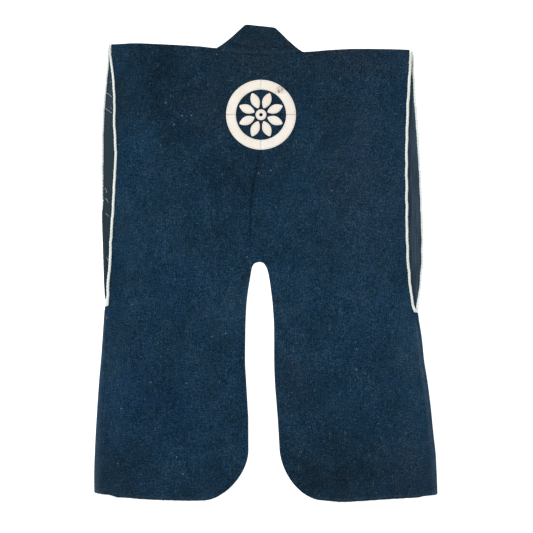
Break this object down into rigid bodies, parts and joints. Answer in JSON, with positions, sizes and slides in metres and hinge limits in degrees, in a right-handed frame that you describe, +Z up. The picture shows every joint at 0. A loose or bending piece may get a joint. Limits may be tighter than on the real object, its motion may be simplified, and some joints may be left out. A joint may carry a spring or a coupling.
{
  "type": "jinbaori, a sleeveless surcoat",
  "caption": "Sleeveless lined indigo surcoat laid flat back upwards, with a deep back vent, corded armholes, a banded collar and a cream applique roundel.",
  "frame": {"origin": "on the surface it lies on, under the middle of the outline", "axes": "+X across towards the right side as seen from above, +Y towards the collar, +Z up; the back faces up"},
  "size_m": [0.6691, 0.9299, 0.0115],
  "materials": {
    "indigo_cloth": "matt plain-woven indigo cloth, mottled with wear",
    "lining_cloth": "matt dark grey-blue plain weave",
    "white_cord": "soft twisted cord, off-white",
    "cream_applique": "smooth felted cream cloth with sewn edges"
  },
  "bodies": {
    "root": {"back_left": "indigo_cloth", "back_right": "indigo_cloth", "front_left": "indigo_cloth", "front_right": "indigo_cloth", "collar": "indigo_cloth", "lining_left": "lining_cloth", "lining_right": "lining_cloth", "armhole_cord_left": "white_cord", "armhole_cord_right": "white_cord", "applique_ring_1": "cream_applique", "applique_ring_2": "cream_applique", "applique_ring_3": "cream_applique", "applique_ring_4": "cream_applique", "applique_leaf_1": "cream_applique", "applique_leaf_2": "cream_applique", "applique_leaf_3": "cream_applique", "applique_leaf_4": "cream_applique", "applique_leaf_5": "cream_applique", "applique_leaf_6": "cream_applique", "applique_leaf_7": "cream_applique", "applique_leaf_8": "cream_applique", "applique_disc": "cream_applique"}
  },
  "joints": []
}
